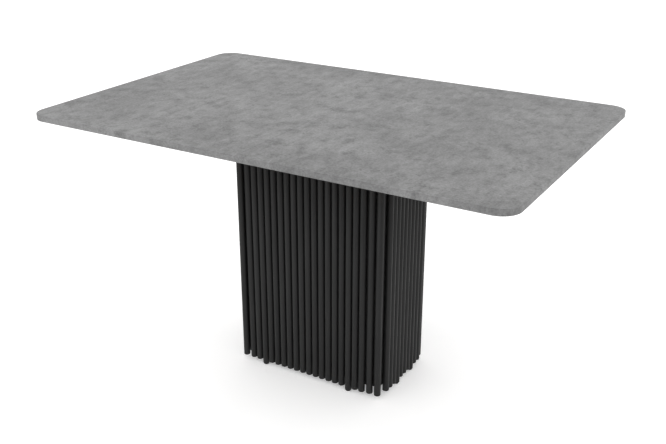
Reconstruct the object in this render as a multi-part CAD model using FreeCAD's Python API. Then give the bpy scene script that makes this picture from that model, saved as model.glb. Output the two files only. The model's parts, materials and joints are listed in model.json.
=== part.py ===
"""Extendable dining table with a central pedestal clad in round rods.

The top is split across its middle. Its two halves ride on steel runners and move apart together,
driven by two racks and one pinion, and a folded leaf is stored under the seam.

Frame: millimetres, +Z up. X runs along the table's length and Y across it, with the front at -Y.
The origin is on the floor, under the centre of the top.
"""
import FreeCAD, Part
import math
import os

V = FreeCAD.Vector
X_AXIS = V(1, 0, 0)
Z_AXIS = V(0, 0, 1)

# ---- driving dimensions: the table ------------------------------------------------------------
table_length = 1351.0
table_width = 873.0
table_height = 762.0
top_thickness = 16.0
corner_radius = 50.0
seam_gap = 0.3
band_thickness = 1.0
extension_per_side = 200.0

# ---- driving dimensions: the pedestal ---------------------------------------------------------
rod_diameter = 19.0
rod_pitch = 21.4
regular_rods_per_long_side = 18
rods_per_short_side = 10
rod_row_y = 128.0
rod_row_x = 227.0
long_row_start = -192.6
side_row_shift = 6.5
end_rod_x = 194.4
corner_rod_x = 219.0
set_back = 3.2
rod_end_height = 12.0
rod_end_rounding = 2.0
front_foot_rods = (2, 15)
right_foot_rods = (3, 7)
glide_height = 3.0
glide_radius = 7.3
glide_rounding = 0.8
panel_thickness = 16.0
side_panel_overrun = 6.5
corner_post_overhang = 0.5
panel_bottom = 29.0
pedestal_height = 652.0
base_board_bottom = 44.0
ballast_thickness = 12.0
ballast_margin = 20.0
ballast_corner_radius = 10.0
head_board_thickness = 18.0
head_plate_thickness = 6.0
head_plate_radius = 18.0

# ---- driving dimensions: the frame and its slides -----------------------------------------------
cross_rail_width = 60.0
cross_rail_thickness = 18.0
cross_rail_x = 200.0
beam_length = 660.0
beam_outer_y = 196.0
beam_thickness = 22.0
beam_height = 24.0
slide_rail_thickness = 12.0
slide_rail_height = 20.0
slide_pad_thickness = 2.0
slide_pad_length = 50.0
slide_pad_starts = (20.0, 280.0)
slide_clearance = 0.3
runner_side_gap = 1.0
runner_wall = 3.0
runner_inner_end = 10.0
runner_outer_end = 560.0
batten_width = 36.0
batten_reach = 300.0
inner_batten_x = 228.0
outer_batten_x = 526.0

# ---- driving dimensions: the synchronising gear -------------------------------------------------
gear_module = 2.0
pinion_teeth = 16
pressure_angle = math.radians(20)
rack_addendum = 1.7
gear_dedendum = 2.5
tooth_root_overlap = 0.5
gear_backlash = 0.3
gear_thickness = 10.0
rack_back_y = 26.0
rack_free_end = 234.0
rack_held_end = 246.0
stop_lug_length = 8.0
stop_lug_depth = 8.0
axle_radius = 4.0
axle_running_gap = 0.05
axle_embedded = 14.0
axle_above_gear = 7.0
hub_radius = 8.0
hub_height = 3.0
clip_radius = 7.0
clip_height = 1.2
clip_lift = 3.4
clip_groove_depth = 0.5
clip_slot = 5.0
spacer_radius = 9.0
gear_lift = 6.0
first_rack_tooth = -4
rack_end_margin = 6.0
bracket_thickness = 7.0
bracket_foot_length = 28.0
bracket_plate_y = (8.0, 50.0)
guide_half_length = 24.0
guide_near = 6.0
guide_far = 18.0
guide_roof = 4.0

# ---- driving dimensions: the stored leaf --------------------------------------------------------
leaf_half_width = extension_per_side
leaf_fold_gap = 3.0
leaf_clearance = 2.0
leaf_bearer_x = 150.0
leaf_bearer_width = 30.0
leaf_bearer_gap = 0.5
leaf_bearer_rounding = 2.0
leaf_edge_rounding = 1.0
leaf_hinge_positions = (-140.0, 0.0, 140.0)
leaf_hinge_length = 40.0
leaf_plate_depth = 30.0
knuckle_radius = 3.0
hinge_pin_radius = 1.2
hinge_pin_gap = 0.05
knuckle_gap = 0.2
knuckle_offset = 0.3

# ---- driving dimensions: the lock and the fasteners ---------------------------------------------
lock_pivot_x = -25.0
lock_y = 330.0
lock_reach = 45.0
lock_pin_radius = 3.0
lock_plate_thickness = 3.0
lock_notch_gap = 0.7
lock_play = 0.5
lock_plate_rounding = 4.0
lock_base_x = (-40.0, -8.0)
lock_base_half_width = 22.0
lock_strike_x = (8.0, 42.0)
lock_strike_half_width = 18.0
lock_swing_angle = 35
lever_half_width = 8.0
lever_eye_radius = 9.5
pivot_head_radius = 6.0
pivot_head_height = 2.7
pivot_play = 0.3
strike_pin_overhang = 1.5
knob_distance = 61.0
knob_radius = 7.0
knob_height = 14.0
knob_rounding = 2.5
dowel_radius = 4.0
dowel_positions = (-370.0, -250.0, 250.0, 370.0)
dowel_embedded = 20.0
dowel_exposed = 12.0
dowel_tight_gap = 0.05
dowel_hole_gap = 0.3
dowel_socket_depth = 14.0
hole_gap = 0.15
batten_rounding = 3.0
batten_screw_rows = (-265.0, -95.0, 95.0, 265.0)
batten_screw_recess = 8.0
batten_screw_bite = 10.0
batten_screw_radius = 2.5
batten_screw_head_radius = 5.0
runner_screw_radius = 2.0
runner_screw_head_radius = 4.0
runner_screw_length = 22.0
slide_rail_screw_positions = (-250.0, -85.0, 85.0, 250.0)
slide_rail_screw_radius = 2.5
slide_rail_screw_head_radius = 5.0
slide_rail_screw_length = 26.0
frame_bolt_radius = 3.0
frame_bolt_recess = 6.0
beam_screw_head_radius = 5.0
beam_screw_bite = 14.0
rail_bolt_x = 184.0
rail_bolt_y = 70.0
rail_bolt_head_radius = 6.0
rail_bolt_bite = 12.0

# ---- levels, from the floor up ------------------------------------------------------------------
rod_radius = rod_diameter / 2
top_under = table_height - top_thickness
plate_bottom = pedestal_height
cross_rail_bottom = plate_bottom + head_plate_thickness
beam_bottom = cross_rail_bottom + cross_rail_thickness
beam_top = beam_bottom + beam_height
slide_rail_bottom = beam_bottom + (beam_height - slide_rail_height) / 2
slide_rail_top = slide_rail_bottom + slide_rail_height
runner_inside_bottom = slide_rail_bottom - slide_pad_thickness - slide_clearance
runner_inside_top = slide_rail_top + slide_pad_thickness + slide_clearance
runner_top = runner_inside_top + runner_wall
leaf_upper_bottom = top_under - leaf_clearance - top_thickness
leaf_lower_bottom = leaf_upper_bottom - leaf_fold_gap - top_thickness
gear_bottom = beam_bottom + gear_lift
gear_top = gear_bottom + gear_thickness
lock_plate_levels = (top_under - lock_plate_thickness, top_under)

# ---- outlines of the pedestal -------------------------------------------------------------------
panel_face_y = rod_row_y - rod_radius
panel_face_x = rod_row_x - rod_radius
panel_back_y = panel_face_y - panel_thickness
panel_back_x = panel_face_x - panel_thickness
side_panel_reach = panel_back_y + side_panel_overrun
panel_levels = (panel_bottom, pedestal_height)


# ---- helpers ------------------------------------------------------------------------------------
def block(x_range, y_range, z_range):
    """A box from three (low, high) pairs, in any order."""
    low = V(min(x_range), min(y_range), min(z_range))
    high = V(max(x_range), max(y_range), max(z_range))
    return Part.makeBox(high.x - low.x, high.y - low.y, high.z - low.z, low)


def post(radius, x, y, z_range):
    """A vertical cylinder."""
    return Part.makeCylinder(radius, z_range[1] - z_range[0], V(x, y, z_range[0]), Z_AXIS)


def turned(shape):
    """The shape turned half a turn about the table's vertical axis."""
    copy = shape.copy()
    copy.rotate(V(0, 0, 0), Z_AXIS, 180)
    return copy


def cut_all(shape, tools):
    """The shape with every tool cut out of it."""
    for tool in tools:
        shape = shape.cut(tool)
    return shape


def group(solids):
    """Several separate solids in one node."""
    return Part.makeCompound(solids)


def prism(points, z_range):
    """A polygon in plan, given as (x, y) points, raised between two levels."""
    corners = [V(x, y, z_range[0]) for x, y in points]
    face = Part.Face(Part.makePolygon(corners + corners[:1]))
    return face.extrude(V(0, 0, z_range[1] - z_range[0]))


def rounded_edges(shape, radius, wanted):
    """The shape with the edges that pass the test `wanted` rounded."""
    return shape.makeFillet(radius, [edge for edge in shape.Edges if wanted(edge)])


def is_vertical(edge):
    """Whether an edge is a straight vertical line."""
    first, last = edge.Vertexes[0].Point, edge.Vertexes[-1].Point
    return abs(first.x - last.x) < 1e-6 and abs(first.y - last.y) < 1e-6


def is_edge_at_level(edge, level):
    """Whether both ends of an edge lie at `level`."""
    return all(abs(vertex.Z - level) < 1e-6 for vertex in edge.Vertexes)


def countersunk_screw(start, direction, radius, head_radius, length, gap=0.0):
    """A flat-headed screw whose head is flush at `start`. With a gap it is the hole for that screw."""
    head_height = head_radius - radius
    head = Part.makeCone(head_radius + gap, radius + gap, head_height, start, direction)
    shank = Part.makeCylinder(radius + gap, length + gap, start, direction)
    return head.fuse(shank).removeSplitter()


def cap_screw(start, direction, radius, head_radius, head_height, length, gap=0.0):
    """A screw with a round head sunk below `start`. With a gap it is the stepped hole for it."""
    head = Part.makeCylinder(head_radius + gap, head_height, start, direction)
    shank_start = start + direction * head_height
    shank = Part.makeCylinder(radius + gap, length + gap, shank_start, direction)
    return head.fuse(shank).removeSplitter()


# ---- top halves ---------------------------------------------------------------------------------
def half_outline(inset, z_range):
    """The left half of the top in plan, with its two outer corners rounded, drawn in by `inset`."""
    shape = block((-table_length / 2 + inset, -seam_gap / 2 - inset),
                  (-table_width / 2 + inset, table_width / 2 - inset), z_range)
    return rounded_edges(shape, corner_radius - inset,
                         lambda edge: is_vertical(edge) and edge.Vertexes[0].X < -table_length / 4)


def dowel(y, radius, x_range):
    """One dowel, or its hole, in the seam's edge at half the board's thickness."""
    start = V(x_range[0], y, table_height - top_thickness / 2)
    return Part.makeCylinder(radius, x_range[1] - x_range[0], start, X_AXIS)


def alignment_dowels():
    """Steel dowels in the left half that line the halves up as they close."""
    return group([dowel(y, dowel_radius, (-dowel_embedded, dowel_exposed)) for y in dowel_positions])


def finish_half(shape, side):
    """A left-hand piece of the top with its dowel holes, turned half a turn for the right side."""
    if side == "left":
        radius = dowel_radius + dowel_tight_gap
        return cut_all(shape, [dowel(y, radius, (-dowel_embedded, 0)) for y in dowel_positions])
    radius = dowel_radius + dowel_hole_gap
    return cut_all(turned(shape), [dowel(y, radius, (0, dowel_socket_depth)) for y in dowel_positions])


def top_board(side):
    """One half of the top: a faced board inside its edge band."""
    board = half_outline(band_thickness, (top_under, table_height))
    return finish_half(cut_all(board, batten_screws(hole_gap)), side)


def edge_band(side):
    """The band glued round all four edges of one half."""
    levels = (top_under, table_height)
    return finish_half(half_outline(0, levels).cut(half_outline(band_thickness, levels)), side)


# ---- battens, runners and their screws, drawn for the left half ---------------------------------
def batten(centre_x):
    """A cross batten under the top, drilled for its screws."""
    shape = block((-centre_x - batten_width / 2, -centre_x + batten_width / 2),
                  (-batten_reach, batten_reach), (runner_top, top_under))
    shape = rounded_edges(shape, batten_rounding, lambda edge: is_edge_at_level(edge, runner_top))
    return cut_all(shape, batten_screws(hole_gap) + runner_screws(hole_gap))


def batten_screws(gap=0.0):
    """Long screws up through the battens into the underside of the top."""
    length = top_under - runner_top - batten_screw_recess + batten_screw_bite
    return [cap_screw(V(-x, y, runner_top), Z_AXIS, batten_screw_radius, batten_screw_head_radius,
                      batten_screw_recess, length, gap)
            for x in (inner_batten_x, outer_batten_x) for y in batten_screw_rows]


def runner_screws(gap=0.0):
    """Countersunk screws up through the runners' top walls into the battens."""
    middle = beam_outer_y + slide_rail_thickness / 2 + runner_side_gap
    return [countersunk_screw(V(-x, y, runner_inside_top), Z_AXIS, runner_screw_radius,
                              runner_screw_head_radius, runner_screw_length, gap)
            for x in (inner_batten_x, outer_batten_x) for y in (-middle, middle)]


def half_screws():
    """All the screws of the left half."""
    return group(batten_screws() + runner_screws())


def runner(side_of_table):
    """A steel channel that slides along the fixed rail. side_of_table is -1 at the front, 1 behind."""
    near = beam_outer_y + runner_side_gap
    inside = near + slide_rail_thickness
    span = (-runner_outer_end, -runner_inner_end)
    levels = (runner_inside_bottom - runner_wall, runner_top)
    outer = block(span, (side_of_table * near, side_of_table * (inside + runner_wall)), levels)
    hollow = block(span, (side_of_table * near, side_of_table * inside),
                   (runner_inside_bottom, runner_inside_top))
    return cut_all(outer, [hollow] + runner_screws(hole_gap))


# ---- fixed frame on the pedestal ----------------------------------------------------------------
def cross_rail(side):
    """A rail across the pedestal's head that carries both beams. side is -1 or 1."""
    middle = side * cross_rail_x
    shape = block((middle - cross_rail_width / 2, middle + cross_rail_width / 2),
                  (-beam_outer_y, beam_outer_y), (cross_rail_bottom, beam_bottom))
    return cut_all(shape, beam_screws(hole_gap) + rail_bolts(hole_gap))


def beam_screws(gap=0.0):
    """Cap screws down through the beams into the cross rails, four corners."""
    middle = beam_outer_y - beam_thickness / 2
    length = beam_height - frame_bolt_recess + beam_screw_bite
    return [cap_screw(V(x, y, beam_top), -Z_AXIS, frame_bolt_radius, beam_screw_head_radius,
                      frame_bolt_recess, length, gap)
            for x in (-cross_rail_x, cross_rail_x) for y in (-middle, middle)]


def beam(side):
    """A long beam at the front (-1) or back (1), drilled for its screws."""
    inner = beam_outer_y - beam_thickness
    shape = block((-beam_length / 2, beam_length / 2), (side * inner, side * beam_outer_y),
                  (beam_bottom, beam_top))
    return cut_all(shape, beam_screws(hole_gap) + slide_rail_screws(side, hole_gap))


def slide_rail_screws(side, gap=0.0):
    """Countersunk screws through one slide rail into its beam."""
    face_y = side * (beam_outer_y + slide_rail_thickness)
    level = (slide_rail_bottom + slide_rail_top) / 2
    return [countersunk_screw(V(x, face_y, level), V(0, -side, 0), slide_rail_screw_radius,
                              slide_rail_screw_head_radius, slide_rail_screw_length, gap)
            for x in slide_rail_screw_positions]


def slide_rail(side):
    """A steel bar on the beam's outer face, inside the runners."""
    shape = block((-beam_length / 2, beam_length / 2),
                  (side * beam_outer_y, side * (beam_outer_y + slide_rail_thickness)),
                  (slide_rail_bottom, slide_rail_top))
    return cut_all(shape, slide_rail_screws(side, hole_gap))


def slide_pads():
    """Nylon pads above and below the slide rails, on which the runners glide."""
    pads = []
    for end in (-1, 1):
        for start in slide_pad_starts:
            x_range = (end * start, end * (start + slide_pad_length))
            for side in (-1, 1):
                y_range = (side * (beam_outer_y + runner_side_gap),
                           side * (beam_outer_y + slide_rail_thickness))
                pads.append(block(x_range, y_range, (slide_rail_top, slide_rail_top + slide_pad_thickness)))
                pads.append(block(x_range, y_range, (slide_rail_bottom - slide_pad_thickness,
                                                     slide_rail_bottom)))
    return group(pads)


def leaf_bearer(side):
    """A slat on which the stored leaf lies. side is -1 or 1."""
    middle = side * leaf_bearer_x
    top = leaf_lower_bottom - leaf_bearer_gap
    shape = block((middle - leaf_bearer_width / 2, middle + leaf_bearer_width / 2),
                  (-beam_outer_y, beam_outer_y), (beam_top, top))
    return rounded_edges(shape, leaf_bearer_rounding, lambda edge: is_edge_at_level(edge, top))


# ---- pedestal -----------------------------------------------------------------------------------
def clad_rod(x, y, bottom):
    """One upright rod with a rounded lower end."""
    shape = post(rod_radius, x, y, (bottom, pedestal_height))
    return rounded_edges(shape, rod_end_rounding, lambda edge: is_edge_at_level(edge, bottom))


def long_row():
    """Places of the evenly spaced rods along the front, from left to right."""
    return [(long_row_start + rod_pitch * i, -rod_row_y) for i in range(regular_rods_per_long_side)]


def short_row():
    """Places along the right-hand row, from front to back. The row sits a little towards the back."""
    start = side_row_shift - rod_pitch * (rods_per_short_side - 1) / 2
    return [(rod_row_x, start + rod_pitch * i) for i in range(rods_per_short_side)]


def row_of_rods(places, left_out):
    """The rods of one row that stop short of the floor."""
    return group([clad_rod(x, y, rod_end_height)
                  for i, (x, y) in enumerate(places) if i not in left_out])


def corner_rods():
    """The rods at the corners. The front row's last rod and the corner beside it are set back."""
    set_back_y = -rod_row_y + set_back
    places = [(-corner_rod_x, -rod_row_y), (end_rod_x, set_back_y), (corner_rod_x, set_back_y)]
    front = group([clad_rod(x, y, rod_end_height) for x, y in places])
    return group([front, turned(front)])


def foot_places():
    """Places of the longer rods that stand on the floor, on all four sides."""
    places = [long_row()[i] for i in front_foot_rods] + [short_row()[i] for i in right_foot_rods]
    return places + [(-x, -y) for x, y in places]


def foot_rods():
    """The rods that carry the table, each ending just above its glide."""
    return group([clad_rod(x, y, glide_height) for x, y in foot_places()])


def floor_glides():
    """Felt-faced plastic glides under the longer rods."""
    glides = [post(glide_radius, x, y, (0, glide_height)) for x, y in foot_places()]
    return group([rounded_edges(glide, glide_rounding, lambda edge: is_edge_at_level(edge, 0))
                  for glide in glides])


def front_panel():
    """The carcass panel behind the front rods, with a rabbet behind the rod that is set back."""
    panel = block((-panel_back_x, panel_back_x), (-panel_back_y, -panel_face_y), panel_levels)
    rabbet = block((end_rod_x - rod_radius, panel_back_x), (-panel_face_y, -panel_face_y + set_back),
                   panel_levels)
    return panel.cut(rabbet)


def short_panel(side):
    """The carcass panel behind the left (-1) or right (1) rods."""
    return block((side * panel_back_x, side * panel_face_x), (-side_panel_reach, side_panel_reach),
                 panel_levels)


def corner_posts():
    """Strips that fill the corners of the carcass and carry the corner rods."""
    outer_x = corner_rod_x + corner_post_overhang
    left = block((-outer_x, -panel_back_x), (-side_panel_reach, -panel_face_y), panel_levels)
    right = block((panel_back_x, outer_x), (-side_panel_reach, -panel_face_y + set_back), panel_levels)
    front = group([left, right])
    return group([front, turned(front)])


def base_board():
    """The board that closes the carcass near the floor."""
    return block((-panel_back_x, panel_back_x), (-panel_back_y, panel_back_y),
                 (base_board_bottom, base_board_bottom + panel_thickness))


def ballast_plate():
    """A cast plate lying on the base board, which keeps the table steady."""
    bottom = base_board_bottom + panel_thickness
    shape = block((-panel_back_x + ballast_margin, panel_back_x - ballast_margin),
                  (-panel_back_y + ballast_margin, panel_back_y - ballast_margin),
                  (bottom, bottom + ballast_thickness))
    return rounded_edges(shape, ballast_corner_radius, is_vertical)


def rail_bolts(gap=0.0):
    """Bolts down through the cross rails and the head plate into the head board."""
    length = cross_rail_thickness - frame_bolt_recess + head_plate_thickness + rail_bolt_bite
    return [cap_screw(V(x, y, beam_bottom), -Z_AXIS, frame_bolt_radius, rail_bolt_head_radius,
                      frame_bolt_recess, length, gap)
            for x in (-rail_bolt_x, rail_bolt_x) for y in (-rail_bolt_y, 0, rail_bolt_y)]


def head_board():
    """The board that closes the carcass at its top."""
    shape = block((-panel_back_x, panel_back_x), (-panel_back_y, panel_back_y),
                  (pedestal_height - head_board_thickness, pedestal_height))
    return cut_all(shape, rail_bolts(hole_gap) + [axle_hole()])


def head_plate():
    """The steel plate over the carcass and the rods' upper ends."""
    x, y = rod_row_x + rod_radius, rod_row_y + rod_radius
    shape = block((-x, x), (-y, y), (plate_bottom, cross_rail_bottom))
    return cut_all(rounded_edges(shape, head_plate_radius, is_vertical),
                   rail_bolts(hole_gap) + [axle_hole()])


# ---- synchronising gear -------------------------------------------------------------------------
def axle_hole():
    """The hole that holds the pinion's axle."""
    return post(axle_radius + hole_gap, 0, 0, (pedestal_height - axle_embedded, cross_rail_bottom))


def pinion_axle():
    """A fixed steel pin with a groove for its clip."""
    pin = post(axle_radius, 0, 0, (pedestal_height - axle_embedded, gear_top + axle_above_gear))
    around = post(clip_radius, 0, 0, clip_levels(hole_gap))
    return pin.cut(around.cut(post(axle_radius - clip_groove_depth, 0, 0, clip_levels(hole_gap))))


def clip_levels(gap=0.0):
    """The clip's lower and upper levels on the axle, opened by a gap."""
    low = gear_top + clip_lift
    return low - gap, low + clip_height + gap


def axle_clip():
    """A spring clip in the axle's groove, open on one side."""
    bore = post(axle_radius - clip_groove_depth + axle_running_gap, 0, 0, clip_levels())
    ring = post(clip_radius, 0, 0, clip_levels()).cut(bore)
    return ring.cut(block((0, 2 * clip_radius), (-clip_slot / 2, clip_slot / 2), clip_levels()))


def pinion_spacer():
    """A plastic sleeve that holds the pinion above the head plate."""
    levels = (cross_rail_bottom, gear_bottom - slide_clearance)
    return post(spacer_radius, 0, 0, levels).cut(post(axle_radius + hole_gap, 0, 0, levels))


def involute(angle):
    """The involute function."""
    return math.tan(angle) - angle


def tooth_points():
    """Half of a pinion tooth's outline, root to tip, as (radius, angle from the tooth's middle)."""
    pitch_radius = gear_module * pinion_teeth / 2
    base_radius = pitch_radius * math.cos(pressure_angle)
    tip_radius = pitch_radius + gear_module
    half_tooth = math.pi / (2 * pinion_teeth)
    points = [(pitch_radius - gear_dedendum - tooth_root_overlap, half_tooth + involute(pressure_angle))]
    steps = 6
    for i in range(steps + 1):
        radius = base_radius + (tip_radius - base_radius) * i / steps
        flank = involute(math.acos(min(1.0, base_radius / radius)))
        points.append((radius, half_tooth + involute(pressure_angle) - flank))
    return points


def drive_pinion():
    """The gear wheel that makes the two racks move together, with its hub."""
    flank = tooth_points()
    levels = (gear_bottom, gear_top)
    root_radius = gear_module * pinion_teeth / 2 - gear_dedendum
    wheel = post(root_radius, 0, 0, levels)
    for i in range(pinion_teeth):
        middle = 2 * math.pi * i / pinion_teeth
        outline = [(r * math.cos(middle - a), r * math.sin(middle - a)) for r, a in flank]
        outline += [(r * math.cos(middle + a), r * math.sin(middle + a)) for r, a in reversed(flank)]
        wheel = wheel.fuse(prism(outline, levels))
    hub_top = gear_top + hub_height
    wheel = wheel.fuse(post(hub_radius, 0, 0, (gear_top, hub_top))).removeSplitter()
    return wheel.cut(post(axle_radius + axle_running_gap, 0, 0, (gear_bottom, hub_top)))


def rack():
    """The left half's rack: teeth face the pinion, and a lug on its free end is the end stop."""
    pitch = math.pi * gear_module
    pitch_y = gear_module * pinion_teeth / 2
    root_y = pitch_y + gear_dedendum
    tip_y = pitch_y - rack_addendum
    half_pitch_width = (pitch / 2 - gear_backlash) / 2
    half_root = half_pitch_width + gear_dedendum * math.tan(pressure_angle)
    half_tip = half_pitch_width - rack_addendum * math.tan(pressure_angle)
    outline = [(rack_free_end, root_y), (rack_free_end, rack_back_y + stop_lug_depth),
               (rack_free_end - stop_lug_length, rack_back_y + stop_lug_depth),
               (rack_free_end - stop_lug_length, rack_back_y), (-rack_held_end, rack_back_y),
               (-rack_held_end, root_y)]
    teeth = int((rack_free_end - rack_end_margin) / pitch) - first_rack_tooth
    for i in range(teeth):
        middle = (first_rack_tooth + i + 0.5) * pitch
        outline += [(middle - half_root, root_y), (middle - half_tip, tip_y),
                    (middle + half_tip, tip_y), (middle + half_root, root_y)]
    return prism(outline, (gear_bottom, gear_top))


def rack_bracket():
    """The stepped steel bracket that hangs the left rack from the inner batten."""
    edge = -rack_held_end
    plate = block((edge, edge + batten_width), bracket_plate_y, (runner_top - runner_wall, runner_top))
    foot = block((edge, edge + bracket_foot_length), (rack_back_y - bracket_thickness, rack_back_y),
                 (gear_top, runner_top))
    return plate.fuse(foot).removeSplitter()


def rack_guides():
    """Nylon blocks beside the pinion that hold each rack in mesh, open towards the pinion."""
    near = rack_back_y - guide_near
    far = rack_back_y + guide_far
    span = (-guide_half_length, guide_half_length)
    body = block(span, (near, far), (cross_rail_bottom, gear_top + guide_roof))
    slot = block(span, (near, rack_back_y + slide_clearance),
                 (gear_bottom - slide_clearance, gear_top + slide_clearance))
    guide = body.cut(slot)
    return group([guide, turned(guide)])


# ---- stored leaf --------------------------------------------------------------------------------
def leaf_board(bottom):
    """One of the two boards of the folded leaf."""
    reach = table_width / 4
    shape = block((-leaf_half_width, leaf_half_width), (-reach, reach), (bottom, bottom + top_thickness))
    return rounded_edges(shape, leaf_edge_rounding, lambda edge: not is_vertical(edge))


def leaf_hinges():
    """Three butt hinges at the leaf's back edge: two plates and a pin each."""
    solids = []
    for x in leaf_hinge_positions:
        solids += leaf_hinge(x)
    return group(solids)


def leaf_hinge(x):
    """The two plates and the pin of one closed hinge."""
    edge = table_width / 4
    axis_y = edge + knuckle_radius + knuckle_offset
    fold = leaf_upper_bottom - leaf_fold_gap / 2
    start = x - leaf_hinge_length / 2
    end = start + leaf_hinge_length
    third = leaf_hinge_length / 3

    def along_axis(radius):
        return Part.makeCylinder(radius, leaf_hinge_length, V(start, axis_y, fold), X_AXIS)

    def plate(knuckles, z_range):
        shape = block((start, end), (edge - leaf_plate_depth, edge), z_range)
        for low, high in knuckles:
            barrel = Part.makeCylinder(knuckle_radius, high - low, V(low, axis_y, fold), X_AXIS)
            shape = shape.fuse(barrel).fuse(block((low, high), (edge, axis_y), z_range))
        return shape.cut(along_axis(hinge_pin_radius + hinge_pin_gap)).removeSplitter()

    outer_knuckles = [(start, start + third - knuckle_gap), (end - third + knuckle_gap, end)]
    lower = plate(outer_knuckles, (fold - leaf_fold_gap / 2, fold))
    upper = plate([(start + third, end - third)], (fold, fold + leaf_fold_gap / 2))
    return [lower, upper, along_axis(hinge_pin_radius)]


# ---- lock under the seam ------------------------------------------------------------------------
def lock_plate(x_range, half_width):
    """A steel plate with rounded corners against the underside of the top."""
    shape = block(x_range, (lock_y - half_width, lock_y + half_width), lock_plate_levels)
    return rounded_edges(shape, lock_plate_rounding, is_vertical)


def lock_base():
    """The lock's plate on the left half."""
    shape = lock_plate(lock_base_x, lock_base_half_width)
    return shape.cut(post(lock_pin_radius + hole_gap, lock_pivot_x, lock_y, lock_plate_levels))


def lever_levels():
    """The lever's lower and upper faces."""
    top = top_under - lock_plate_thickness - lock_play
    return top - lock_plate_thickness, top


def lock_pivot():
    """The headed pin on which the lever turns."""
    head_top = lever_levels()[0] - pivot_play
    shank = post(lock_pin_radius, lock_pivot_x, lock_y, (head_top, top_under))
    head = post(pivot_head_radius, lock_pivot_x, lock_y, (head_top - pivot_head_height, head_top))
    return shank.fuse(head).removeSplitter()


def lock_lever():
    """A flat lever with an open notch for the strike's pin, shown swung clear of the seam."""
    low, high = lever_levels()
    pivot = V(lock_pivot_x, lock_y, low)

    def disc(radius, distance):
        return post(radius, lock_pivot_x + distance, lock_y, (low, high))

    arm = block((lock_pivot_x, lock_pivot_x + knob_distance),
                (lock_y - lever_half_width, lock_y + lever_half_width), (low, high))
    arm = arm.fuse(disc(lever_eye_radius, 0)).fuse(disc(lever_half_width, knob_distance)).removeSplitter()
    notch_half = lock_pin_radius + lock_notch_gap
    sweep = Part.makeCylinder(lock_reach + notch_half, high - low, pivot, Z_AXIS, lock_swing_angle)
    sweep = sweep.cut(disc(lock_reach - notch_half, 0))
    sweep.rotate(pivot, Z_AXIS, -lock_swing_angle)
    notch = sweep.fuse(disc(notch_half, lock_reach))
    arm = cut_all(arm, [disc(lock_pin_radius + axle_running_gap, 0), notch])
    arm.rotate(pivot, Z_AXIS, 90)
    return arm


def lock_knob():
    """The round grip under the lever's end."""
    top = lever_levels()[0]
    bottom = top - knob_height
    knob = post(knob_radius, lock_pivot_x, lock_y + knob_distance, (bottom, top))
    return rounded_edges(knob, knob_rounding, lambda edge: is_edge_at_level(edge, bottom))


def lock_strike():
    """The plate and pin on the right half that the lever hooks round."""
    pin = post(lock_pin_radius, lock_pivot_x + lock_reach, lock_y,
               (lever_levels()[0] - strike_pin_overhang, top_under))
    return lock_plate(lock_strike_x, lock_strike_half_width).fuse(pin).removeSplitter()


# ---- the nodes ----------------------------------------------------------------------------------
def all_parts():
    """Every node's name and shape."""
    left_half = {
        "inner_batten": batten(inner_batten_x),
        "outer_batten": batten(outer_batten_x),
        "front_runner": runner(-1),
        "back_runner": runner(1),
        "rack": rack(),
        "rack_bracket": rack_bracket(),
        "screws": half_screws(),
    }
    parts = {"left_" + name: shape for name, shape in left_half.items()}
    swapped = {"front_runner": "back_runner", "back_runner": "front_runner"}
    for name, shape in left_half.items():
        parts["right_" + swapped.get(name, name)] = turned(shape)
    for side in ("left", "right"):
        parts[side + "_top_board"] = top_board(side)
        parts[side + "_edge_band"] = edge_band(side)
    for name, side in (("front", -1), ("back", 1)):
        parts[name + "_beam"] = beam(side)
        parts[name + "_slide_rail"] = slide_rail(side)
    for name, side in (("left", -1), ("right", 1)):
        parts[name + "_panel"] = short_panel(side)
        parts[name + "_cross_rail"] = cross_rail(side)
        parts[name + "_leaf_bearer"] = leaf_bearer(side)
    front, right = row_of_rods(long_row(), front_foot_rods), row_of_rods(short_row(), right_foot_rods)
    parts["front_rods"] = front
    parts["back_rods"] = turned(front)
    parts["front_panel"] = front_panel()
    parts["back_panel"] = turned(front_panel())
    parts["right_rods"] = right
    parts["left_rods"] = turned(right)
    parts["beam_screws"] = group(beam_screws())
    parts["rail_bolts"] = group(rail_bolts())
    parts["slide_rail_screws"] = group(slide_rail_screws(-1) + slide_rail_screws(1))
    parts["leaf_lower_board"] = leaf_board(leaf_lower_bottom)
    parts["leaf_upper_board"] = leaf_board(leaf_upper_bottom)
    singles = (corner_rods, foot_rods, floor_glides, corner_posts, base_board, ballast_plate, head_board,
               head_plate, slide_pads, pinion_axle, axle_clip, pinion_spacer, rack_guides, drive_pinion,
               alignment_dowels, leaf_hinges, lock_base, lock_pivot, lock_lever, lock_knob, lock_strike)
    for make in singles:
        parts[make.__name__] = make()
    return parts


os.makedirs("parts", exist_ok=True)
for name, shape in sorted(all_parts().items()):
    if not shape.isValid():
        print("not valid:", name)
    shape.exportStep("parts/" + name + ".step")
    print(name, len(shape.Solids), "solids", round(shape.Volume / 1000, 1), "cm3")
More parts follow.
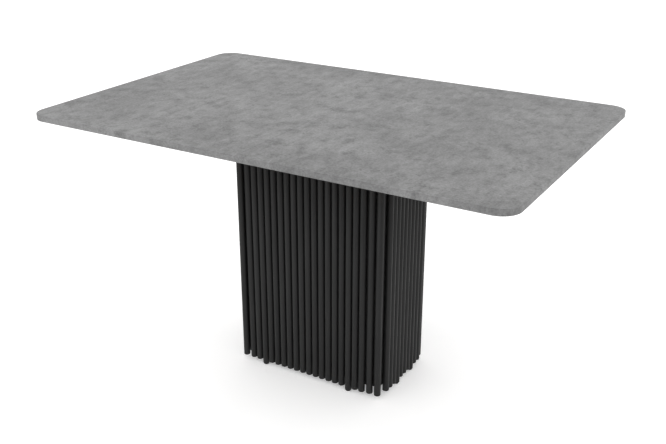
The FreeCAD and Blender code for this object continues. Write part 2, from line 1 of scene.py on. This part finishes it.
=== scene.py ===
"""Looks of the extendable dining table: materials, finely meshed pieces, a pale studio and the camera.

Everything is in metres, in the table's own frame: +Z up, the origin on the floor under the closed top.
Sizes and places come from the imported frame's boxes and meshes.
"""
import bpy
import bmesh
import json
import math
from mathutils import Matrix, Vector


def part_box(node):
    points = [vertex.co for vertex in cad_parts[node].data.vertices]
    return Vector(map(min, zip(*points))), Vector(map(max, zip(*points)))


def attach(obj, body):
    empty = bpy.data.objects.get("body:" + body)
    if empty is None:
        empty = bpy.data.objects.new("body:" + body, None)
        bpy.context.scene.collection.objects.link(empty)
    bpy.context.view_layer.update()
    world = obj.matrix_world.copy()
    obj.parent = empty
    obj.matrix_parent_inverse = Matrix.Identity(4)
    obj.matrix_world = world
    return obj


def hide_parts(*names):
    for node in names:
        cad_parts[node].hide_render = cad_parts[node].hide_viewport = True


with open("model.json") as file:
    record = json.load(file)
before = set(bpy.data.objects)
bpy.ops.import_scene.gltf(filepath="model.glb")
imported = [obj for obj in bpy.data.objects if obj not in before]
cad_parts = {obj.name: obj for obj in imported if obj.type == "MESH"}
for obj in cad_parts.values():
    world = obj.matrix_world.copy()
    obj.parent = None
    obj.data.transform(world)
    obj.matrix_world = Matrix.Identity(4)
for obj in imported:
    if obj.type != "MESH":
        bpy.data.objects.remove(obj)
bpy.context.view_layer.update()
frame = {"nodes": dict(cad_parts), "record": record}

# ---- sizes read from the frame --------------------------------------------------------------------
board_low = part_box("left_top_board")[0]
band_low, band_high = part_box("left_edge_band")
row_low, row_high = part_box("front_rods")

BAND_THICKNESS = board_low.x - band_low.x
ROD_RADIUS = (row_high.y - row_low.y) / 2

# ---- sizes chosen here ----------------------------------------------------------------------------
TOP_CORNER_RADIUS = 0.050
TOP_CORNER_STEPS = 24
TOP_EDGE_ROUNDING = 0.0006
TOP_EDGE_STEPS = 4
BAND_CREASE_ANGLE = math.radians(50.0)
SOCKET_CLEARANCE = 0.0003
SOCKET_DRILL_ENDS = (-2 * BAND_THICKNESS, 3 * BAND_THICKNESS)

ROD_END_ROUNDING = 0.002
ROD_END_STEPS = 6
ROD_HEAD_CHAMFER = 0.0005
ROD_CREASE_ANGLE = math.radians(60.0)
ROUND_SEGMENTS = 40
WELD_DISTANCE = 0.00001

FLOOR_HALF_SIZE = 12.0
FLOOR_CELLS = 8
FLOOR_DROP = 0.0005

CAMERA_PLACE = Vector((1.2275, -2.0529, 1.4466))
CAMERA_YAW = math.radians(30.83)
CAMERA_PITCH = math.radians(22.85)
CAMERA_LENS = 50.0
CAMERA_SENSOR = 36.0

# ---- tones and light ------------------------------------------------------------------------------
# Painted shade: the edge band's upright faces are darkened by this factor, standing in for less light
# falling on them.
EDGE_PAINTED_SHADE = 0.84
ROD_SPECULAR = 0.24
WHITE = (1.0, 1.0, 1.0, 1.0)
FLOOR_GLOW = 0.30
SURROUND_STRENGTH = 1.12

ROD_NODES = ("front_rods", "back_rods", "left_rods", "right_rods", "corner_rods", "foot_rods")
BEAM_NODES = ("front_beam", "back_beam")


# ---- building materials ---------------------------------------------------------------------------
class Paint:
    """A material under construction: one Principled shader and short calls that add nodes before it."""

    def __init__(self, name, roughness=0.5, metallic=0.0):
        self.material = bpy.data.materials.new(name)
        self.material.use_nodes = True
        self.tree = self.material.node_tree
        self.shader = self.tree.nodes["Principled BSDF"]
        self.shader.inputs["Roughness"].default_value = roughness
        self.shader.inputs["Metallic"].default_value = metallic
        self.place = self.tree.nodes.new("ShaderNodeTexCoord").outputs["Object"]

    def link(self, source, socket):
        """Feeds a socket from an output, or sets it to a plain value."""
        if isinstance(source, bpy.types.NodeSocket):
            self.tree.links.new(source, socket)
        else:
            socket.default_value = source

    def stretched(self, x, y, z, turn=0.0):
        """Object coordinates scaled along each axis, after a turn about Z."""
        node = self.tree.nodes.new("ShaderNodeMapping")
        node.inputs["Scale"].default_value = (x, y, z)
        node.inputs["Rotation"].default_value = (0, 0, turn)
        self.link(self.place, node.inputs["Vector"])
        return node.outputs["Vector"]

    def noise(self, scale, detail=4.0, roughness=0.5, distortion=0.0, place=None):
        """Soft noise from 0 to 1."""
        node = self.tree.nodes.new("ShaderNodeTexNoise")
        self.link(place or self.place, node.inputs["Vector"])
        node.inputs["Scale"].default_value = scale
        node.inputs["Detail"].default_value = detail
        node.inputs["Roughness"].default_value = roughness
        node.inputs["Distortion"].default_value = distortion
        return node.outputs["Fac"]

    def cells(self, scale):
        """Distance to the nearest of a scatter of points."""
        node = self.tree.nodes.new("ShaderNodeTexVoronoi")
        self.link(self.place, node.inputs["Vector"])
        node.inputs["Scale"].default_value = scale
        return node.outputs["Distance"]

    def ramp(self, source, *stops):
        """A grey or colour ramp. Each stop is (position, value or colour)."""
        node = self.tree.nodes.new("ShaderNodeValToRGB")
        elements = node.color_ramp.elements
        while len(elements) < len(stops):
            elements.new(0.5)
        for element, (position, colour) in zip(elements, stops):
            element.position = position
            element.color = as_colour(colour)
        self.link(source, node.inputs["Fac"])
        return node.outputs["Color"]

    def mix(self, factor, first, second, blend="MIX"):
        """Two colours mixed by a factor. Each is an output, a grey or three channels."""
        node = self.tree.nodes.new("ShaderNodeMix")
        node.data_type = "RGBA"
        node.blend_type = blend
        self.link(factor, node.inputs["Factor"])
        for value, socket in ((first, node.inputs["A"]), (second, node.inputs["B"])):
            self.link(value if isinstance(value, bpy.types.NodeSocket) else as_colour(value), socket)
        return node.outputs["Result"]

    def math(self, operation, first, second):
        """One arithmetic step."""
        node = self.tree.nodes.new("ShaderNodeMath")
        node.operation = operation
        self.link(first, node.inputs[0])
        self.link(second, node.inputs[1])
        return node.outputs["Value"]

    def per_piece(self):
        """A random value that differs between the separate solids of one mesh."""
        return self.tree.nodes.new("ShaderNodeNewGeometry").outputs["Random Per Island"]

    def upwardness(self):
        """The height part of the surface's direction: 1 where it faces straight up."""
        split = self.tree.nodes.new("ShaderNodeSeparateXYZ")
        self.link(self.tree.nodes.new("ShaderNodeNewGeometry").outputs["Normal"], split.inputs["Vector"])
        return split.outputs["Z"]

    def colour(self, source):
        """The surface colour."""
        self.link(source, self.shader.inputs["Base Color"])

    def gloss(self, source):
        """A roughness that varies over the surface."""
        self.link(source, self.shader.inputs["Roughness"])

    def bump(self, height, distance):
        """Relief from a height between 0 and 1, as deep as `distance` in metres."""
        node = self.tree.nodes.new("ShaderNodeBump")
        node.inputs["Strength"].default_value = 1.0
        node.inputs["Distance"].default_value = distance
        self.link(height, node.inputs["Height"])
        self.link(node.outputs["Normal"], self.shader.inputs["Normal"])


def as_colour(value):
    """A linear colour with full cover, from a grey or from three channels."""
    if isinstance(value, (int, float)):
        return (value, value, value, 1.0)
    return (*value, 1.0)


def grey(value):
    """The linear grey that a screen shows as `value` out of 255."""
    share = value / 255
    return share / 12.92 if share <= 0.04045 else ((share + 0.055) / 1.055) ** 2.4


# ---- materials ------------------------------------------------------------------------------------
def concrete(name, painted_upright_shade=1.0):
    """Concrete-look laminate: cloudy greys, blotches, clusters of dark specks and faint trowel streaks.

    Upright faces can be painted darker than the flat ones. This is painted shade for the light that falls
    less on them.
    """
    paint = Paint(name, roughness=0.55)
    clouds = paint.noise(4.6, detail=3.0, roughness=0.55)
    base = paint.ramp(clouds, (0.36, grey(96)), (0.50, grey(117)), (0.62, grey(132)))
    patches = paint.noise(21.0, detail=9.0, roughness=0.72, distortion=0.25)
    base = paint.mix(paint.ramp(patches, (0.39, 0.85), (0.52, 0.0)), base, grey(82))
    lights = paint.noise(12.0, detail=8.0, roughness=0.68, distortion=0.4,
                         place=paint.stretched(1.0, 0.7, 1.0, 0.9))
    base = paint.mix(paint.ramp(lights, (0.52, 0.0), (0.66, 0.55)), base, grey(142))
    grain = paint.noise(190.0, detail=3.0, roughness=0.75)
    base = paint.mix(0.34, base, paint.ramp(grain, (0.34, grey(70)), (0.66, grey(162))))
    streaks = paint.noise(46.0, detail=6.0, roughness=0.65, place=paint.stretched(1.0, 0.30, 1.0, 0.5))
    base = paint.mix(0.18, base, paint.ramp(streaks, (0.40, grey(74)), (0.62, grey(150))))
    where = paint.ramp(paint.noise(9.0, detail=3.0, roughness=0.5), (0.48, 0.0), (0.60, 1.0))
    pits = paint.ramp(paint.noise(110.0, detail=5.0, roughness=0.8), (0.34, 1.0), (0.45, 0.0))
    specks = paint.math("MULTIPLY", where, pits)
    base = paint.mix(paint.math("MULTIPLY", specks, 0.75), base, grey(58))
    # Painted shade: faces turning from up to upright are darkened by the given factor, standing in for
    # less light falling on them.
    painted_side_shade = paint.ramp(paint.upwardness(), (0.5, painted_upright_shade), (0.9, 1.0))
    paint.colour(paint.mix(1.0, base, painted_side_shade, blend="MULTIPLY"))
    paint.gloss(paint.ramp(patches, (0.3, 0.62), (0.7, 0.50)))
    paint.bump(paint.math("SUBTRACT", paint.math("MULTIPLY", grain, 0.3), specks), 0.00006)
    return paint.material


def black_rod():
    """Matt black lacquer over round wood: faint long grain, and each rod a touch different."""
    paint = Paint("black_lacquer_rods", roughness=0.5)
    grain = paint.noise(170.0, detail=5.0, roughness=0.6, place=paint.stretched(1.0, 1.0, 0.035))
    shade = paint.ramp(grain, (0.30, 0.005), (0.70, 0.013))
    tint = paint.ramp(paint.per_piece(), (0.0, 0.006), (1.0, 0.012))
    paint.colour(paint.mix(0.45, shade, tint))
    paint.gloss(paint.ramp(grain, (0.3, 0.56), (0.7, 0.44)))
    paint.shader.inputs["Specular IOR Level"].default_value = ROD_SPECULAR
    paint.bump(grain, 0.00008)
    return paint.material


def black_board():
    """Fibreboard painted black, with the roller's fine stipple."""
    paint = Paint("black_board", roughness=0.7)
    stipple = paint.noise(420.0, detail=3.0, roughness=0.6)
    blotch = paint.noise(18.0, detail=4.0, roughness=0.6)
    shade = paint.ramp(stipple, (0.3, 0.012), (0.7, 0.022))
    paint.colour(paint.mix(paint.ramp(blotch, (0.35, 0.0), (0.7, 0.35)), shade, 0.030))
    paint.bump(stipple, 0.00012)
    return paint.material


def powder_coat():
    """Fine-textured black powder coat on steel."""
    paint = Paint("black_steel", roughness=0.48)
    texture = paint.noise(900.0, detail=2.0, roughness=0.5)
    paint.colour(paint.ramp(texture, (0.3, 0.014), (0.7, 0.030)))
    paint.gloss(paint.ramp(texture, (0.3, 0.55), (0.7, 0.40)))
    paint.bump(texture, 0.00015)
    return paint.material


def beech(along):
    """Oiled beech whose grain runs along X or along Y, with short dark flecks."""
    paint = Paint("beech_along_" + along, roughness=0.5)
    grain_place = paint.stretched(*((0.09, 1.0, 1.0) if along == "x" else (1.0, 0.09, 1.0)))
    fleck_place = paint.stretched(*((0.25, 1.0, 1.0) if along == "x" else (1.0, 0.25, 1.0)))
    figure = paint.noise(26.0, detail=6.0, roughness=0.55, distortion=0.6, place=grain_place)
    base = paint.ramp(figure, (0.28, (0.46, 0.27, 0.145)), (0.52, (0.57, 0.365, 0.21)),
                      (0.75, (0.66, 0.45, 0.28)))
    flecks = paint.ramp(paint.noise(520.0, detail=2.0, place=fleck_place), (0.30, 1.0), (0.40, 0.0))
    fine = paint.noise(240.0, detail=5.0, roughness=0.7, place=grain_place)
    base = paint.mix(0.35, base, paint.ramp(fine, (0.3, (0.40, 0.23, 0.12)), (0.7, (0.70, 0.50, 0.32))))
    paint.colour(paint.mix(paint.math("MULTIPLY", flecks, 0.5), base, (0.30, 0.16, 0.08)))
    paint.gloss(paint.ramp(fine, (0.3, 0.60), (0.7, 0.42)))
    paint.bump(fine, 0.00012)
    return paint.material


def drawn_steel(name, colour, stretch, roughness):
    """Drawn or plated steel with fine lines along its length and soft blotches of tone."""
    paint = Paint(name, roughness=roughness, metallic=1.0)
    lines = paint.noise(700.0, detail=3.0, roughness=0.6, place=paint.stretched(*stretch))
    blotch = paint.noise(38.0, detail=5.0, roughness=0.65)
    dark = tuple(channel * 0.72 for channel in colour)
    base = paint.ramp(blotch, (0.32, dark), (0.68, colour))
    paint.colour(paint.mix(0.25, base, paint.ramp(lines, (0.3, dark), (0.7, (0.85, 0.86, 0.87)))))
    paint.gloss(paint.ramp(blotch, (0.3, roughness + 0.12), (0.7, roughness - 0.06)))
    paint.bump(lines, 0.00003)
    return paint.material


def cast_iron():
    """Rough grey-black casting with pits."""
    paint = Paint("cast_ballast", roughness=0.72, metallic=0.6)
    lumps = paint.noise(160.0, detail=6.0, roughness=0.7)
    pits = paint.ramp(paint.cells(240.0), (0.0, 1.0), (0.35, 0.0))
    surface = paint.ramp(lumps, (0.3, 0.035), (0.7, 0.085))
    paint.colour(paint.mix(paint.math("MULTIPLY", pits, 0.6), surface, (0.09, 0.05, 0.035)))
    paint.bump(paint.math("SUBTRACT", lumps, pits), 0.0005)
    return paint.material


def nylon():
    """Waxy natural nylon with faint moulding swirls."""
    paint = Paint("white_nylon", roughness=0.42)
    swirl = paint.noise(60.0, detail=5.0, roughness=0.6, distortion=1.2)
    paint.colour(paint.ramp(swirl, (0.3, (0.60, 0.585, 0.53)), (0.7, (0.72, 0.71, 0.66))))
    paint.shader.inputs["Subsurface Weight"].default_value = 0.15
    paint.shader.inputs["Subsurface Radius"].default_value = (0.002, 0.002, 0.0015)
    paint.bump(paint.noise(500.0, detail=2.0), 0.00004)
    return paint.material


def black_plastic():
    """Moulded black plastic with a fine spark-eroded grain."""
    paint = Paint("black_plastic", roughness=0.5)
    grain = paint.noise(1100.0, detail=2.0, roughness=0.5)
    paint.colour(paint.ramp(grain, (0.3, 0.012), (0.7, 0.026)))
    paint.bump(grain, 0.00008)
    return paint.material


def studio_floor():
    """Pale seamless floor, lit a little from within like a light table."""
    paint = Paint("studio_floor", roughness=0.9)
    paint.colour(paint.ramp(paint.noise(3.0, detail=3.0), (0.3, 0.93), (0.7, 0.95)))
    paint.shader.inputs["Emission Color"].default_value = WHITE
    paint.shader.inputs["Emission Strength"].default_value = FLOOR_GLOW
    return paint.material


# ---- mesh helpers -----------------------------------------------------------------------------------
def bare_object(name, data):
    """An object made from a bmesh, which is used up."""
    mesh = bpy.data.meshes.new(name)
    data.to_mesh(mesh)
    data.free()
    made = bpy.data.objects.new(name, mesh)
    bpy.context.scene.collection.objects.link(made)
    return made


def riding_piece(name, data, material, body):
    """An object made from a bmesh, with its material, riding on a body."""
    piece = bare_object(name, data)
    piece.data.materials.append(material)
    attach(piece, body)
    return piece


def smooth(piece, angle):
    """Smooth shading, with edges sharper than the angle kept crisp."""
    piece.data.polygons.foreach_set("use_smooth", [True] * len(piece.data.polygons))
    piece.data.set_sharp_from_angle(angle=angle)
    piece.data.update()


def circle_points(radius):
    """Points round a circle about the origin, in two dimensions."""
    turns = [2 * math.pi * k / ROUND_SEGMENTS for k in range(ROUND_SEGMENTS)]
    return [(radius * math.cos(turn), radius * math.sin(turn)) for turn in turns]


def side_faces(data, rings):
    """Four-sided faces between successive closed rings of vertices."""
    for lower, upper in zip(rings, rings[1:]):
        count = len(lower)
        for i in range(count):
            after = (i + 1) % count
            data.faces.new((lower[i], lower[after], upper[after], upper[i]))


def capped_rings(data, rings):
    """A closed solid: side faces between successive rings, and a cap on the first and the last."""
    side_faces(data, rings)
    data.faces.new(list(reversed(rings[0])))
    data.faces.new(rings[-1])


def joined_vertices(start):
    """A vertex and all those that edges join it to, directly or through others."""
    joined = {start}
    waiting = [start]
    while waiting:
        vertex = waiting.pop()
        for edge in vertex.link_edges:
            other = edge.other_vert(vertex)
            if other not in joined:
                joined.add(other)
                waiting.append(other)
    return joined


def solid_places(node):
    """The middle, in plan, of every separate solid of a CAD node."""
    data = bmesh.new()
    data.from_mesh(frame["nodes"][node].data)
    bmesh.ops.remove_doubles(data, verts=data.verts, dist=WELD_DISTANCE)
    seen = set()
    places = []
    for start in data.verts:
        if start in seen:
            continue
        solid = joined_vertices(start)
        seen |= solid
        xs = [vertex.co.x for vertex in solid]
        ys = [vertex.co.y for vertex in solid]
        places.append(((min(xs) + max(xs)) / 2, (min(ys) + max(ys)) / 2))
    data.free()
    return places


# ---- rods -------------------------------------------------------------------------------------------
def rod_profile(bottom, top):
    """(radius, height) points of a rod: rounded lower end, straight shaft, small chamfer at the head."""
    turns = [math.pi / 2 * i / ROD_END_STEPS for i in range(ROD_END_STEPS + 1)]
    rounded_end = [(ROD_RADIUS - ROD_END_ROUNDING * (1 - math.sin(turn)),
                    bottom + ROD_END_ROUNDING * (1 - math.cos(turn))) for turn in turns]
    return rounded_end + [(ROD_RADIUS, top - ROD_HEAD_CHAMFER), (ROD_RADIUS - ROD_HEAD_CHAMFER, top)]


def add_rod(data, x, y, bottom, top):
    """One upright rod."""
    rings = []
    for radius, height in rod_profile(bottom, top):
        rings.append([data.verts.new((x + dx, y + dy, height)) for dx, dy in circle_points(radius)])
    capped_rings(data, rings)


def rod_group(node, material):
    """All the rods of one node, finely meshed, standing for that node."""
    low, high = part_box(node)
    data = bmesh.new()
    for x, y in solid_places(node):
        add_rod(data, x, y, low.z, high.z)
    piece = riding_piece(node + "_smooth", data, material, "pedestal")
    smooth(piece, ROD_CREASE_ANGLE)
    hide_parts(node)


# ---- table top ----------------------------------------------------------------------------------------
def half_outline(side, inset):
    """One half's outline in plan, anticlockwise, drawn in by `inset`.

    side is 1 for the right half, or -1 for the left, which is the right one after half a turn.
    """
    outer_x = -band_low.x - inset
    inner_x = -band_high.x + inset
    reach = band_high.y - inset
    radius = TOP_CORNER_RADIUS - inset
    points = []
    for corner, start in ((-1, -math.pi / 2), (1, 0.0)):
        centre = Vector((outer_x - radius, corner * (reach - radius)))
        for k in range(TOP_CORNER_STEPS + 1):
            angle = start + math.pi / 2 * k / TOP_CORNER_STEPS
            points.append(centre + radius * Vector((math.cos(angle), math.sin(angle))))
    points += [Vector((inner_x, reach)), Vector((inner_x, -reach))]
    return [side * point for point in points]


def rim_levels():
    """(inset, height) of the rings that make a softly rounded rim, from the underside up."""
    turns = [math.pi / 2 * k / TOP_EDGE_STEPS for k in range(TOP_EDGE_STEPS + 1)]
    lower = [(TOP_EDGE_ROUNDING * (1 - math.sin(turn)),
              band_low.z + TOP_EDGE_ROUNDING * (1 - math.cos(turn))) for turn in turns]
    upper = [(TOP_EDGE_ROUNDING * (1 - math.cos(turn)),
              band_high.z - TOP_EDGE_ROUNDING * (1 - math.sin(turn))) for turn in turns]
    return lower + upper


def ring_at(data, side, inset, height):
    """One closed ring of vertices round a half of the top."""
    return [data.verts.new((point.x, point.y, height)) for point in half_outline(side, inset)]


def socket_drills():
    """A rod-shaped cutter for each dowel, from clear of the seam to clear behind the band."""
    low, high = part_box("alignment_dowels")
    middle = (low.z + high.z) / 2
    radius = (high.z - low.z) / 2 + SOCKET_CLEARANCE
    data = bmesh.new()
    for _, y in solid_places("alignment_dowels"):
        rings = []
        for x in SOCKET_DRILL_ENDS:
            rings.append([data.verts.new((x, y + dy, middle + dz)) for dy, dz in circle_points(radius)])
        capped_rings(data, rings)
    return data


def with_dowel_sockets(data):
    """The right band's mesh with a round mouth for each dowel, cut where it meets the left half."""
    band = bare_object("band_blank", data)
    drill = bare_object("socket_drill", socket_drills())
    cut = band.modifiers.new("sockets", "BOOLEAN")
    cut.operation = "DIFFERENCE"
    cut.solver = "EXACT"
    cut.object = drill
    shaped = band.evaluated_get(bpy.context.evaluated_depsgraph_get())
    result = bmesh.new()
    result.from_mesh(shaped.to_mesh())
    shaped.to_mesh_clear()
    for blank in (band, drill):
        mesh = blank.data
        bpy.data.objects.remove(blank)
        bpy.data.meshes.remove(mesh)
    return result


def edge_band_piece(name, side, material):
    """The edge band of one half: a thin closed strip with softly rounded corners, open in its middle."""
    data = bmesh.new()
    outer = [ring_at(data, side, inset, height) for inset, height in rim_levels()]
    inner = [ring_at(data, side, BAND_THICKNESS, height) for height in (band_high.z, band_low.z)]
    side_faces(data, outer + inner + outer[:1])
    if side > 0:
        data = with_dowel_sockets(data)
    piece = riding_piece(name + "_edge_band_smooth", data, material, name + "_top")
    smooth(piece, BAND_CREASE_ANGLE)
    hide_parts(name + "_edge_band")


# ---- everything together ------------------------------------------------------------------------------
def paint_node(node, material):
    """Gives a CAD node a material."""
    slots = frame["nodes"][node].data.materials
    slots.clear()
    slots.append(material)


def slot_materials():
    """The material of each slot that the record names."""
    return {
        "concrete_laminate": concrete("concrete_laminate"),
        # The edge band's upright faces carry painted shade.
        "grey_edge_band": concrete("grey_edge_band", painted_upright_shade=EDGE_PAINTED_SHADE),
        "black_lacquer_rods": black_rod(),
        "black_board": black_board(),
        "black_steel": powder_coat(),
        "zinc_steel": drawn_steel("zinc_steel", (0.60, 0.61, 0.63), (0.05, 1.0, 1.0), roughness=0.36),
        "bright_steel": drawn_steel("bright_steel", (0.52, 0.52, 0.53), (1.0, 0.05, 1.0), roughness=0.28),
        "cast_ballast": cast_iron(),
        "white_nylon": nylon(),
        "black_plastic": black_plastic(),
        "beech": beech("y"),
    }


def dress_table():
    """Every CAD node's material, and the finer pieces that stand for some of them."""
    materials = slot_materials()
    for part in frame["record"]["subparts"]:
        paint_node(part["node"], materials[part["material_slot"]])
    beech_along_x = beech("x")
    for node in BEAM_NODES:
        paint_node(node, beech_along_x)
    for node in ROD_NODES:
        rod_group(node, materials["black_lacquer_rods"])
    for side, name in ((-1, "left"), (1, "right")):
        edge_band_piece(name, side, materials["grey_edge_band"])


# ---- studio ---------------------------------------------------------------------------------------------
def area_light(name, place, target, size, power):
    """A large soft lamp aimed at a point."""
    lamp = bpy.data.lights.new(name, "AREA")
    lamp.shape = "RECTANGLE"
    lamp.size, lamp.size_y = size
    lamp.energy = power
    holder = bpy.data.objects.new(name, lamp)
    holder.location = place
    holder.rotation_euler = (Vector(target) - Vector(place)).to_track_quat("-Z", "Y").to_euler()
    bpy.context.scene.collection.objects.link(holder)


def floor():
    """A pale floor, a hair below the table's feet."""
    data = bmesh.new()
    bmesh.ops.create_grid(data, x_segments=FLOOR_CELLS, y_segments=FLOOR_CELLS, size=FLOOR_HALF_SIZE)
    ground = bare_object("studio_floor", data)
    ground.location = (0, 0, -FLOOR_DROP)
    ground.data.materials.append(studio_floor())


def surround():
    """An even white surround."""
    world = bpy.data.worlds.new("studio")
    world.use_nodes = True
    background = world.node_tree.nodes["Background"]
    background.inputs["Color"].default_value = WHITE
    background.inputs["Strength"].default_value = SURROUND_STRENGTH
    bpy.context.scene.world = world


def studio():
    """The floor, the surround and two soft lamps."""
    floor()
    surround()
    area_light("key_lamp", place=(-1.3, -3.2, 0.9), target=(0, 0, 0.1), size=(2.4, 1.0), power=12.0)
    area_light("fill_lamp", place=(3.2, -0.8, 1.2), target=(0, 0, 0.3), size=(2.0, 1.6), power=1.5)
    bpy.context.scene.view_settings.view_transform = "Standard"


def camera():
    """The camera, looking down at the table's front from its right."""
    lens = bpy.data.cameras.new("camera")
    lens.lens = CAMERA_LENS
    lens.sensor_width = CAMERA_SENSOR
    holder = bpy.data.objects.new("camera", lens)
    holder.location = CAMERA_PLACE
    holder.rotation_euler = (math.pi / 2 - CAMERA_PITCH, 0.0, CAMERA_YAW)
    bpy.context.scene.collection.objects.link(holder)
    bpy.context.scene.camera = holder


dress_table()
studio()
camera()
